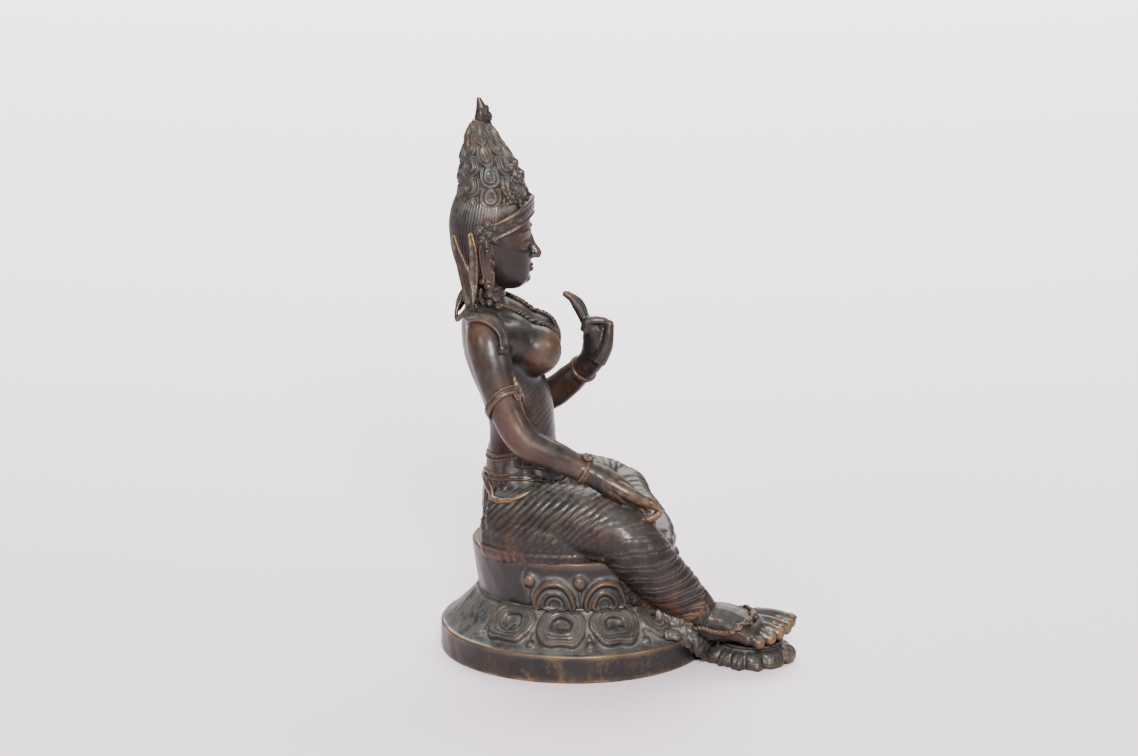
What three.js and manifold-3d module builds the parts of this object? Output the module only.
// A cast bronze figure of a seated goddess on a round lotus plinth.
// She sits at royal ease: the left leg is folded on the seat, and the right leg hangs down to a small lotus footrest.
// Millimetres, +Z up, she looks along -Y, and the origin is the centre of the plinth's underside.
// Two castings: the lotus plinth with its footrest, and the figure, which sits on it.
import * as THREE from "three";
import { mergeVertices } from "three/addons/utils/BufferGeometryUtils.js";
import Module from "manifold-3d";

const wasm = await Module();
wasm.setup();

// Driving dimensions

const figureHeight = 178; // from the seat to the tip of the crown
const footrestHeight = 10; // the small lotus under the right foot
const footrestRadius = 16.5;
const restPetals = 13;
const rimRadius = 54; // the plinth's foot ring
const rimHeight = 9;
const slopeRise = 14; // the sloping ring of large petals, hollow in profile
const slopeCurve = 1.6; // 1 would be a straight slope
const waistRadius = 38; // where the slope meets the seat drum
const seatRadius = 41;
const slopePetals = 10; // round the front and the sides, the back stays plain
const slopePetalSpan = 276; // degrees that they take up
const slopeRelief = 2.6; // how far a petal stands out
const drumPetals = 9;
const drumPetalSpan = 234;
const drumRelief = 2;
const budRise = 2; // the buds between the petals
const strutWidth = 9; // the rough bridge of metal from the plinth to the footrest
const castingGap = 0.3; // between the figure and the plinth

// The figure keeps its pose and carving as shares of its own height: one unit is a 178th of it.
const unit = figureHeight / 178;
const soleDrop = 35.5 * unit; // from the seat down to the sole of the hanging foot
const seatHeight = footrestHeight + soleDrop;
const slopeTop = rimHeight + slopeRise;
const footSpot = [-20.5 * unit, -71 * unit]; // the middle of the footrest, under the right foot

// Skins and solids

const degrees = (angle) => (angle * Math.PI) / 180;

// A closed skin over rows of points, from a start pole to an end pole. Rows turn left as seen from the end.
function skin(startPole, rows, endPole) {
  const sides = rows[0].length;
  const points = [startPole, ...rows.flat(), endPole];
  const last = points.length - 1;
  const index = [];
  rows.forEach((_, i) => {
    const ring = (j, row = i) => 1 + row * sides + (j % sides);
    for (let j = 0; j < sides; j++) {
      if (i === 0) index.push(0, ring(j + 1), ring(j));
      else index.push(ring(j, i - 1), ring(j + 1, i - 1), ring(j + 1), ring(j, i - 1), ring(j + 1), ring(j));
      if (i === rows.length - 1) index.push(last, ring(j), ring(j + 1));
    }
  });
  const geometry = new THREE.BufferGeometry();
  geometry.setAttribute("position", new THREE.Float32BufferAttribute(points.flat(), 3));
  return geometry.setIndex(index);
}

// A closed mesh as a solid that can be joined and cut.
function solid(geometry) {
  const bare = geometry.clone();
  bare.deleteAttribute("normal");
  bare.deleteAttribute("uv");
  const merged = mergeVertices(bare, 1e-4);
  return new wasm.Manifold(
    new wasm.Mesh({
      numProp: 3,
      vertProperties: merged.attributes.position.array,
      triVerts: new Uint32Array(merged.index.array),
    }),
  );
}

const join = (geometries) => geometries.map(solid).reduce((whole, piece) => whole.add(piece));

function casting(name, manifold, material) {
  const { vertProperties, triVerts } = manifold.getMesh();
  const geometry = new THREE.BufferGeometry();
  geometry.setAttribute("position", new THREE.BufferAttribute(new Float32Array(vertProperties), 3));
  geometry.setIndex(new THREE.BufferAttribute(new Uint32Array(triVerts), 1));
  geometry.computeVertexNormals();
  const mesh = new THREE.Mesh(geometry, material);
  mesh.name = name;
  return mesh;
}

// A limb is a rounded skin over stations [x, y, z, half width, half depth], smoothed along its length.
// across is the way the width points. level keeps the rings flat, as a trunk's or a head's are.
// round is how far the two ends bulge, as shares of the half width there, and 0 leaves an end cut off.
// Each band [station, rise, half length] is a raised ring about the limb.
// Folds are every second ring, raised by the given amount, and lean by so many rings up to share leanEnd.
function limb(stations, {
  sides = 8,
  rings = stations.length,
  across = [1, 0, 0],
  round = [0.5, 0.5],
  level = false,
  bands = [],
  fold = 0,
  lean = 0,
  leanEnd = 1,
} = {}) {
  const spans = stations.length - 1;
  const line = new THREE.CatmullRomCurve3(stations.map(([x, y, z]) => new THREE.Vector3(x, y, z)));
  const girth = new THREE.CatmullRomCurve3(stations.map(([, , , w, d]) => new THREE.Vector3(w, d, 0)));
  const place = (t, share, rise, shift, angle) => {
    const along = level ? new THREE.Vector3(0, 0, 1) : line.getTangent(t);
    const wide = new THREE.Vector3(...across);
    wide.addScaledVector(along, -wide.dot(along)).normalize();
    const deep = new THREE.Vector3().crossVectors(along, wide);
    const size = girth.getPoint(t);
    const p = line.getPoint(t).addScaledVector(along, shift * Math.min(size.x, size.y));
    if (angle === undefined) return p.toArray();
    p.addScaledVector(wide, (size.x * share + rise) * Math.cos(angle));
    p.addScaledVector(deep, (size.y * share + rise) * Math.sin(angle));
    return p.toArray();
  };
  const plain = Array.from({ length: rings }, (_, i) => [i / (rings - 1), i % 2 ? fold : 0])
    .filter(([t]) => bands.every(([station, , reach]) => Math.abs(t * spans - station) > 1.3 * reach));
  const raised = bands.flatMap(([station, rise, reach]) =>
    [-1, 0, 1].map((k) => [(station + k * reach) / spans, k ? 0 : rise]));
  const rows = [...plain, ...raised].sort((a, b) => a[0] - b[0]);
  const turn = Array.from({ length: sides }, (_, j) => (2 * Math.PI * j) / sides);
  const ringAt = ([t, rise]) => turn.map((angle) => {
    const slide = (lean / (rings - 1)) * Math.sin(Math.PI * Math.min(1, t / leanEnd)) * Math.sin(angle);
    return place(t + slide, 1, rise, 0, angle);
  });
  const cap = (t, shift) => turn.map((angle) => place(t, 0.72, 0, 0.7 * shift, angle));
  return skin(
    place(0, 0, 0, -round[0]),
    [...(round[0] ? [cap(0, -round[0])] : []), ...rows.map(ringAt), ...(round[1] ? [cap(1, round[1])] : [])],
    place(1, 0, 0, round[1]),
  );
}

// A bead, boss or bump.
const ball = (x, y, z, rx, ry = rx, rz = rx, grain = [6, 4]) =>
  new THREE.SphereGeometry(1, ...grain).scale(rx, ry, rz).translate(x, y, z);
const mirrored = (stations) => stations.map(([x, ...rest]) => [-x, ...rest]);
const both = (stations, options) => [limb(stations, options), limb(mirrored(stations), options)];

// Plinth

// Across a petal: where each column stands, and how much it takes of the edge's rise and of the middle's.
const petalColumns = [[-1, 0, 0], [-0.8, 1, 0], [0, 0, 1], [0.8, 1, 0], [1, 0, 0]];
const nestedColumns = [[-1, 0, 0], [-0.84, 1, 0], [-0.52, 0.5, 0], [0, 0, 1], [0.52, 0.5, 0], [0.84, 1, 0], [1, 0, 0]];
const lobeColumns = [[-0.9, 0, 0], [-0.35, 1, 0], [0.35, 1, 0]];

// A turned skin whose rows [radius, z, petal width, edge rise, middle rise, bud rise] gather into petals.
// Between two petals, and outside the first and last, stands one column of buds. The back stays plain.
function petalSkin(rows, top, { count, span, columns, lean, plainColumns, buds = true }) {
  const pitch = span / count;
  const back = (360 - span) / (plainColumns + 1);
  return skin(
    [0, 0, rows[0][1]],
    rows.map(([radius, z, width, edge, middle, bud]) => {
      const petals = Array.from({ length: count }, (_, k) => -span / 2 + (k + 0.5) * pitch).flatMap((centre) => [
        ...(buds ? [[centre - pitch / 2, bud]] : []),
        ...columns.map(([s, e, m]) => [centre + 0.48 * s * width * pitch, e * edge + m * middle]),
      ]);
      const plain = Array.from({ length: plainColumns }, (_, k) => [span / 2 + (k + 1) * back, 0]);
      const lastBud = buds ? [[span / 2, bud]] : [];
      return [...petals, ...lastBud, ...plain].map(([bearing, lift]) => {
        const r = radius + lift * Math.cos(degrees(lean));
        const angle = degrees(bearing - 90);
        return [r * Math.cos(angle), r * Math.sin(angle), z + lift * Math.sin(degrees(lean))];
      });
    }),
    [0, 0, top],
  );
}

// Large petals lie on the slope with their tips at the rim: a rolled edge round a hollow with a boss in it.
function slope() {
  const run = rimRadius - waistRadius;
  const at = (share, width, edge, middle, bud) => [
    rimRadius - run * share,
    rimHeight + slopeRise * share ** slopeCurve,
    width, edge * slopeRelief, middle * slopeRelief, bud * budRise,
  ];
  return petalSkin([
    at(0, 1, 0, 0, 0).with(1, 0),
    at(0, 1, 0, 0, 0),
    at(0.17, 0.4, 0, 0, 1),
    at(0.27, 0.76, 0.9, 0.9, 0.2),
    at(0.45, 0.94, 1, 0.5, 0),
    at(0.8, 0.9, 1.1, 1.1, 0),
    at(1, 1, 0, 0, 0),
  ], slopeTop, {
    count: slopePetals,
    span: slopePetalSpan,
    columns: nestedColumns,
    lean: (Math.atan2(run, slopeRise) * 180) / Math.PI,
    plainColumns: 5,
  });
}

// The drum's petals stand upright under the edge of the seat, with a bud between the heads of each two.
function drum() {
  const at = (share, width, edge, middle, bud) => [
    waistRadius + (seatRadius - waistRadius) * share ** 0.6,
    slopeTop + (seatHeight - slopeTop) * share,
    width, edge * drumRelief, middle * drumRelief, bud * budRise,
  ];
  return petalSkin([
    at(0, 1, 0, 0, 0).with(1, slopeTop - 2),
    at(0.18, 0.84, 0, 0, 0),
    at(0.3, 0.94, 0.9, 0.4, 0),
    at(0.6, 0.92, 1, 1.1, 0.4),
    at(0.76, 0.6, 0.9, 0.9, 1),
    at(0.95, 0.8, 0, 0, 0),
    [seatRadius - 1, seatHeight, 1, 0, 0, 0],
  ], seatHeight, {
    count: drumPetals,
    span: drumPetalSpan,
    columns: petalColumns,
    lean: 0,
    plainColumns: 5,
  });
}

// The footrest is a small lotus of its own: drooping petals round a flat top.
function footrest() {
  const top = footrestHeight - castingGap;
  const row = (share, height, edge) => [footrestRadius * share, top * height, 1, edge, 0, 0];
  const [x, y] = footSpot;
  return petalSkin([
    row(0.7, 0, 0.4),
    row(0.9, 0.14, 1.9),
    row(0.92, 0.5, 1.8),
    row(0.86, 0.72, 0),
    row(0.94, 1, 0),
  ], top, {
    count: restPetals,
    span: 360,
    columns: lobeColumns,
    lean: 0,
    plainColumns: 0,
    buds: false,
  }).translate(x, y, 0);
}

// The bridge of metal runs out from the rim to the footrest.
function strut() {
  const [x, y] = footSpot;
  const reach = Math.hypot(x, y);
  const at = (r, z, half, tall) => [(x / reach) * r, (y / reach) * r, z, half, tall];
  return limb([
    at(rimRadius - 8, 5, 0.5 * strutWidth, 3.6),
    at(rimRadius, 4.6, 0.6 * strutWidth, 3.8),
    at(reach - 0.6 * footrestRadius, 4.2, 0.5 * strutWidth, 3.4),
  ], { sides: 6, across: [-y / reach, x / reach, 0] });
}

const plinth = () => join([
  slope(),
  drum(),
  footrest(),
  strut(),
]);

// What the figure has to stay clear of: a smooth profile just outside the plinth's petals.
function keepOut() {
  const overPetals = seatRadius + drumRelief + castingGap;
  const grown = [
    [0, -1],
    [rimRadius + castingGap, -1],
    [rimRadius + castingGap, rimHeight],
    [rimRadius - 2, rimHeight + slopeRelief + castingGap],
    [waistRadius + 3 * slopeRelief, slopeTop - 4],
    [overPetals, slopeTop],
    [overPetals, seatHeight - 2 * drumRelief],
    [seatRadius + castingGap, seatHeight - 0.6],
    [seatRadius + castingGap - 0.8, seatHeight + castingGap],
    [0, seatHeight + castingGap],
  ].map(([r, z]) => new THREE.Vector2(r, z));
  const [x, y] = footSpot;
  const underFoot = new THREE.CylinderGeometry(2 * footrestRadius, 2 * footrestRadius, footrestHeight, 12)
    .rotateX(Math.PI / 2)
    .translate(x, y, footrestHeight / 2);
  return solid(new THREE.LatheGeometry(grown, 60).rotateX(Math.PI / 2)).add(solid(underFoot));
}

// Body, in the figure's own units with z counted from the seat

const torso = () => limb([
  [0, 17, -1, 27, 19],
  [0, 17.5, 8, 28.5, 19.5],
  [0, 18.5, 18, 26, 18.5],
  [0, 20, 28, 20.5, 15.8],
  [0, 20.8, 38, 16.6, 13.8],
  [0, 21, 46, 15.4, 13.3],
  [0, 22.8, 56, 16.6, 14],
  [0, 26.4, 66, 19, 14.8],
  [0, 30, 77, 21, 14.4],
  [0, 33, 86, 21.5, 12.2],
  [0, 35, 92.5, 15, 9],
  [0, 35.3, 98, 7.6, 7.2],
  [0, 34.4, 108, 7, 7],
], { sides: 12, rings: 11, round: [0, 0], level: true, bands: [[2.5, 1.5, 0.16], [3.3, 1.4, 0.14]] });

const breast = [
  [-9.6, 27, 91, 7, 5],
  [-10.4, 21.6, 86.6, 9, 8],
  [-11.3, 15.6, 80.6, 10, 9.6],
  [-11.5, 14.6, 75.4, 9.4, 8.8],
  [-11.5, 17.6, 70.6, 4.8, 4.8],
];

// Both arms wear an armlet above the elbow and a bracelet at the wrist.
const rightArm = () => limb([
  [-19, 36, 91, 6, 6],
  [-25, 34.5, 88, 8, 8.4],
  [-29, 32.5, 79, 7.8, 8.2],
  [-31.5, 29, 67, 7, 7.3],
  [-33.5, 25, 56, 6.4, 6.6],
  [-34.8, 19.5, 48, 6.5, 6.5],
  [-35, 11, 43.2, 6.5, 6.3],
  [-34.6, 2.5, 39, 5.8, 5.6],
  [-34, -6, 34.5, 4.8, 4.6],
], { sides: 8, rings: 9, bands: [[3.8, 1.3, 0.14], [7.6, 1.3, 0.14]], round: [0.3, 0] });

const leftArm = () => limb([
  [19, 36, 91, 6, 6],
  [25, 34, 88, 8, 8.4],
  [29, 30.5, 79, 7.8, 8.1],
  [31, 26.5, 67, 7, 7.3],
  [32, 21.5, 56, 6.4, 6.7],
  [31.4, 15.6, 49.4, 6.6, 6.6],
  [28.4, 8, 52.6, 6.5, 6.5],
  [24, 0.6, 59.6, 6, 6],
  [18, -4.6, 66, 5, 5],
], { sides: 8, rings: 9, bands: [[3.8, 1.3, 0.14], [7.6, 1.3, 0.14]], round: [0.3, 0] });

// Hands. The right one hangs open over the knee, and its thumb and first finger nearly meet.
// The left one is raised before the breast in the gesture of teaching.
const digit = { sides: 4, rings: 4, round: [0, 0.6] };
const rightFingers = [[-34.6, 1], [-31.6, 0.95], [-28.8, 0.8]]; // sideways place and reach of the other three
const leftFingers = [[14.2, 1], [17, 0.94], [19.6, 0.8]];

const rightHand = () => [
  limb([[-34, -4, 35.5, 4.6, 4.2], [-34, -12, 31, 5.6, 3.6], [-33.4, -19, 27.5, 6, 3.2], [-33, -24, 24.6, 5.2, 2.6]]),
  limb([[-36.5, -11, 33, 2.6, 2.6], [-38.5, -19, 29.5, 2.5, 2.5], [-38.3, -26, 26.8, 2.1, 2.1],
    [-37.5, -31.5, 23.6, 1.7, 1.7]], digit),
  limb([[-36.5, -22, 24, 2.3, 2.3], [-38, -26.5, 18.5, 2.2, 2.2], [-38.2, -30.5, 16.6, 2, 2],
    [-38, -33.5, 19.6, 1.7, 1.7]], digit),
  ...rightFingers.map(([x, reach]) => limb([[x, -22, 25.6, 2, 2], [x, -28, 21.5, 1.9, 1.9],
    [x, -28 - 4.6 * reach, 21.5 - 6 * reach, 1.8, 1.8], [x, -28 - 6 * reach, 21.5 - 12 * reach, 1.5, 1.5]], digit)),
];
const leftHand = () => [
  limb([[18, -4.4, 65, 5, 4.8], [16.4, -8.4, 70.6, 5.4, 4.8], [15.6, -7.6, 78, 5.9, 3.8], [15.5, -5.4, 84.4, 5.4, 2.8]]),
  limb([[13, -8.6, 69, 4, 4], [11.4, -11.8, 75, 3.2, 3.4], [11, -13.6, 81, 2.2, 2.2],
    [11.4, -14.2, 85.6, 1.8, 1.8]], digit),
  limb([[11.8, -4.6, 82.4, 2.2, 2.2], [11.4, -5.4, 85.6, 2, 2], [11.2, -8.6, 86, 1.8, 1.8],
    [11.4, -12, 85.2, 1.7, 1.7]], digit),
  ...leftFingers.map(([x, reach]) => limb([[x, -5.4, 82, 2, 2], [x, -3.4, 86, 1.9, 1.9],
    [x, -3.4 + 3 * reach, 86 + 6 * reach, 1.8, 1.8], [x, -3.4 + 5.4 * reach, 86 + 9.6 * reach, 1.6, 1.6]], digit)),
];

// Legs under the pleated skirt. The left one is folded flat, with its foot before the lap.
const legs = () => [
  limb([
    [-13, 27, 12, 15, 12.5],
    [-19, 17, 12.5, 15, 13.6],
    [-25, 5, 13, 15, 14.2],
    [-30.5, -8, 12.5, 14.4, 14],
    [-35, -18.4, 9.4, 13, 13],
    [-36.4, -25, 3.2, 12.2, 12],
    [-34.6, -31.2, -4.6, 11.4, 11.2],
    [-31, -38.6, -12.6, 10.4, 10.4],
    [-28, -44.4, -18.6, 9.6, 9.6],
    [-26.4, -48, -23, 8.8, 8.8],
  ], { sides: 10, rings: 21, fold: 0.9, lean: 3, leanEnd: 0.6, round: [0, 0.5] }),
  limb([
    [13, 27, 12, 15, 12.5],
    [22, 17, 12.5, 15, 13.2],
    [32, 3, 12, 14, 12.8],
    [40.5, -10, 11, 12.6, 11.8],
    [44.5, -18.5, 10, 11.4, 10.8],
  ], { sides: 10, rings: 11, fold: 0.9, lean: 1.5, round: [0, 0.5] }),
  limb([
    [43, -19.6, 9.4, 10.8, 10.6],
    [34, -21.6, 8, 9.2, 9.2],
    [24, -24.4, 6.6, 8.2, 7.6],
    [13, -28, 5.6, 7.6, 6.8],
    [4, -31, 5.2, 6.6, 6.2],
  ], { sides: 10, rings: 9, fold: 0.8, across: [0, 1, 0] }),
  ball(0, 6, 6, 24, 21, 7, [12, 5]), // the skirt stretched over the lap
];

// Toes from the great one outwards: place across the foot, reach and half thickness.
const toes = [[6.6, 11.4, 2.7], [2.5, 10, 2.1], [-1, 7.8, 2], [-4.4, 5, 1.9], [-7.6, 1.8, 1.8]];
const toeGrain = { sides: 4, rings: 2, round: [0, 0.7] };

const feet = () => [
  limb([
    [-27, -46.5, -20, 6.6, 6.6],
    [-25.6, -50, -25, 6.4, 7],
    [-24.6, -52, -30, 6, 7],
  ], { sides: 8 }),
  limb([
    [-25.2, -48, -30.6, 5, 4.6],
    [-24.6, -54, -28.4, 6.6, 7.2],
    [-22.8, -62, -28.2, 7.6, 7],
    [-20.8, -70, -30, 8.6, 5.4],
    [-19.6, -76.5, -32, 8.8, 3.6],
  ], { sides: 9, rings: 5, bands: [[2.7, 1.1, 0.2]] }),
  limb([
    [8, -31, 5.6, 5.4, 5.2],
    [0, -33.4, 5.2, 5.4, 4.8],
    [-8, -34, 4.6, 6, 4],
    [-15, -33.6, 3.8, 6.4, 3.2],
  ], { sides: 8, across: [0, 1, 0] }),
  ...toes.map(([side, reach, thick]) => limb([
    [-19.4 + side, -72, -31.4, thick, thick],
    [-18.6 + 1.1 * side, -75 - reach, -33, 0.95 * thick, 0.95 * thick],
  ], toeGrain)),
  ...toes.map(([side, reach, thick]) => limb([
    [-12, -32.6 - 0.75 * side, 3.6, 0.85 * thick, 0.85 * thick],
    [-14 - 0.85 * reach, -32 - 0.8 * side, 3.2, 0.8 * thick, 0.8 * thick],
  ], { ...toeGrain, across: [0, 1, 0] })),
];

// Head. The face is a calm, regular one.
const face = () => [
  limb([
    [0, 23.6, 103.6, 3.4, 3],
    [0, 25.6, 105.6, 6.8, 7.6],
    [0, 28.6, 110, 10, 11.6],
    [0, 30.6, 116, 12, 13.8],
    [0, 32, 122, 13, 15],
    [0, 32.8, 128, 13.2, 15.4],
    [0, 33.2, 134, 12.2, 14.6],
    [0, 33.4, 139, 9.5, 12],
  ], { sides: 12, round: [0.8, 0.4], level: true }),
  limb([[0, 17.6, 122.5, 1.4, 1.4], [0, 16, 117.5, 1.6, 1.8], [0, 15, 114.6, 2.3, 2], [0, 17, 113, 2, 1.2]],
    { sides: 5, round: [0, 0.3] }),
  ball(-4.9, 18.4, 119.4, 2.6, 1.6, 1.3, [6, 3]),
  ball(4.9, 18.4, 119.4, 2.6, 1.6, 1.3, [6, 3]),
  ball(0, 17.4, 110.2, 2.9, 1.9, 1.3, [6, 3]),
];

const hair = () => limb([
  [0, 38.5, 100.5, 5, 4.6],
  [0, 38, 105, 8.6, 6.6],
  [0, 36.6, 110, 11.6, 9.4],
  [0, 36, 116, 13.6, 12.2],
  [0, 35.2, 122, 14.4, 14],
  [0, 34.2, 128, 14.6, 15.4],
  [0, 33.4, 134, 13.8, 15.2],
  [0, 33, 139.5, 11.8, 13.6],
], { sides: 12, level: true, round: [0.3, 0.3] });

const lockColumns = 7;
const lockRows = 5;

// The chignon is a tall cone of locks that overlap like scales, each row set over the gaps of the row below.
function chignon() {
  const cone = [
    [32.6, 137, 13, 13],
    [32.8, 144, 12.4, 12.8],
    [34, 151, 10.6, 11],
    [35.4, 158, 8.2, 8.4],
    [36.6, 164, 5.8, 5.8],
    [37.2, 168.5, 3.4, 3.4],
  ];
  const line = new THREE.CatmullRomCurve3(cone.map(([y, z]) => new THREE.Vector3(0, y, z)));
  const girth = new THREE.CatmullRomCurve3(cone.map(([, , w, d]) => new THREE.Vector3(w, d, 0)));
  const row = (t, lift, shift) => Array.from({ length: 2 * lockColumns }, (_, j) => {
    const angle = (Math.PI * (j + shift)) / lockColumns;
    const { y, z } = line.getPoint(t);
    const { x: wide, y: deep } = girth.getPoint(t);
    const rise = j % 2 ? 0.3 * lift : lift;
    const droop = j % 2 ? 0 : -0.7 * lift;
    return [(wide + rise) * Math.cos(angle), y + (deep + rise) * Math.sin(angle), z + droop];
  });
  const rows = Array.from({ length: lockRows }, (_, i) => i).flatMap((i) => [
    row((i + 0.08) / lockRows, 0, i % 2),
    row((i + 0.2) / lockRows, 1.5, i % 2),
  ]);
  return skin([0, 32.6, 136], [...rows, row(1, 0, 0)], [0, 37.2, 170]);
}

const finial = () => limb([
  [0, 37, 166, 2.4, 2.6],
  [0, 36.6, 169.5, 3.1, 3.4],
  [0, 36.2, 172.5, 2.8, 3],
  [0, 36.8, 175.4, 1.7, 1.9],
  [0, 37.4, 178, 0.6, 0.7],
], { sides: 6, rings: 5, round: [0, 0.2], level: true });

// The diadem rises from behind the ears to three leaves over the forehead.
const diadem = () => [
  limb([
    [-14.2, 36, 124, 1.6, 1],
    [-14, 28, 127, 1.8, 1.1],
    [-10.4, 21, 131.5, 2, 1.1],
    [0, 17.2, 135, 2.2, 1.2],
    [10.4, 21, 131.5, 2, 1.1],
    [14, 28, 127, 1.8, 1.1],
    [14.2, 36, 124, 1.6, 1],
  ], { sides: 4, across: [0, 0, 1], round: [0, 0] }),
  ball(0, 19.6, 139, 4, 3.4, 5.4, [6, 4]),
  ball(-6.8, 20.4, 137, 3, 2, 3.2, [6, 3]),
  ball(6.8, 20.4, 137, 3, 2, 3.2, [6, 3]),
];

const ear = [
  [-13.4, 34.2, 122.5, 1.3, 2.2],
  [-13.6, 34.4, 115, 1.3, 2.5],
  [-13.8, 33.4, 105, 1.5, 2],
];
const earDress = (side) => [
  ball(side * 14.6, 33, 103.6, 2.4, 2.6, 3.4, [5, 4]),
  ball(side * 15.4, 32, 98.6, 3, 3.6, 3.6, [5, 4]),
  ball(side * 14.4, 34.4, 127, 2.4, 4, 4.2, [6, 3]), // the rosette above the ear
];

// Crown ribbons splay in two points behind each ear and fall to the shoulder, where the end curls forward.
// A shorter one loops out over the back.
const ribbons = () => [
  ...both([
    [-11.4, 48.4, 125, 1.2, 1],
    [-13.8, 45, 118, 1.5, 2.8],
    [-15.6, 43, 110, 1.5, 2.8],
    [-20, 39.6, 96, 1.6, 1.8],
  ], { sides: 4, rings: 5, round: [0.5, 0] }),
  ...both([
    [-13.8, 42.6, 129, 1.2, 1],
    [-14.6, 41.4, 121, 1.5, 2.2],
    [-16.4, 41, 109, 1.4, 2],
  ], { sides: 4, round: [0.5, 0] }),
  ...both([
    [-18.5, 40.6, 97, 1.8, 2],
    [-24.5, 38.6, 95.4, 1.8, 2],
    [-30.4, 33, 93, 1.7, 2],
    [-33.8, 28.2, 90, 1.7, 1.9],
    [-35.4, 28.2, 84, 1.8, 1.8],
  ], { sides: 4, rings: 5 }),
  ...both([
    [-4, 40, 102, 1.2, 1.6],
    [-9, 45.4, 96, 1.2, 1.8],
    [-12, 46.2, 92, 1.2, 1.8],
    [-16, 41.6, 93, 1.2, 1.6],
  ], { sides: 4, round: [0, 0] }),
];

// The necklace lies round the neck, over the breasts, and dips between them.
const necklaceHalf = [
  [-2, 43, 98.6, 1.3, 1.3],
  [-11, 39.6, 98.2, 1.3, 1.5],
  [-14.8, 30, 95.8, 1.3, 1.6],
  [-13, 21, 93, 1.3, 1.7],
  [-9.4, 12.8, 88.6, 1.4, 1.7],
  [-4.6, 13.6, 83, 1.5, 1.7],
  [1, 15.8, 78.6, 1.5, 1.6],
];

const jewellery = () => [
  ...both(necklaceHalf, { sides: 4, rings: 10, round: [0, 0] }),
  ball(-37.8, 21.6, 64.4, 1.6, 2, 4.2, [5, 4]),
  ball(35.2, 16.6, 63.4, 1.6, 2, 4.2, [5, 4]),
  ball(-35.6, -3.4, 41, 2.6, 2.6, 2, [5, 4]),
];

// A ragged web of metal left by the casting joins the calf's hem to the plinth's slope.
const castingWeb = () => limb([
  [-27, -44, -17, 5, 5],
  [-25.5, -45, -24, 5.5, 4.6],
  [-24, -47, -31, 6, 4],
], { sides: 6 });

function figure() {
  const toPart = new THREE.Matrix4().makeTranslation(0, 0, seatHeight).scale(new THREE.Vector3(unit, unit, unit));
  return join([
    torso(),
    ...both(breast, { sides: 8 }),
    rightArm(),
    leftArm(),
    ...rightHand(),
    ...leftHand(),
    ...legs(),
    ...feet(),
    ...face(),
    hair(),
    chignon(),
    finial(),
    ...diadem(),
    ...both(ear, { sides: 5, round: [0.3, 0] }),
    ...earDress(-1),
    ...earDress(1),
    ...ribbons(),
    ...jewellery(),
    castingWeb(),
  ].map((geometry) => geometry.applyMatrix4(toPart))).subtract(keepOut());
}

// Scene

const bronze = () => new THREE.MeshStandardMaterial({ color: 0x3a2d26, roughness: 0.38, metalness: 0.85 });

const statue = new THREE.Group();
statue.add(casting("lotus_plinth", plinth(), bronze()));
statue.add(casting("seated_goddess", figure(), bronze()));

export default statue;
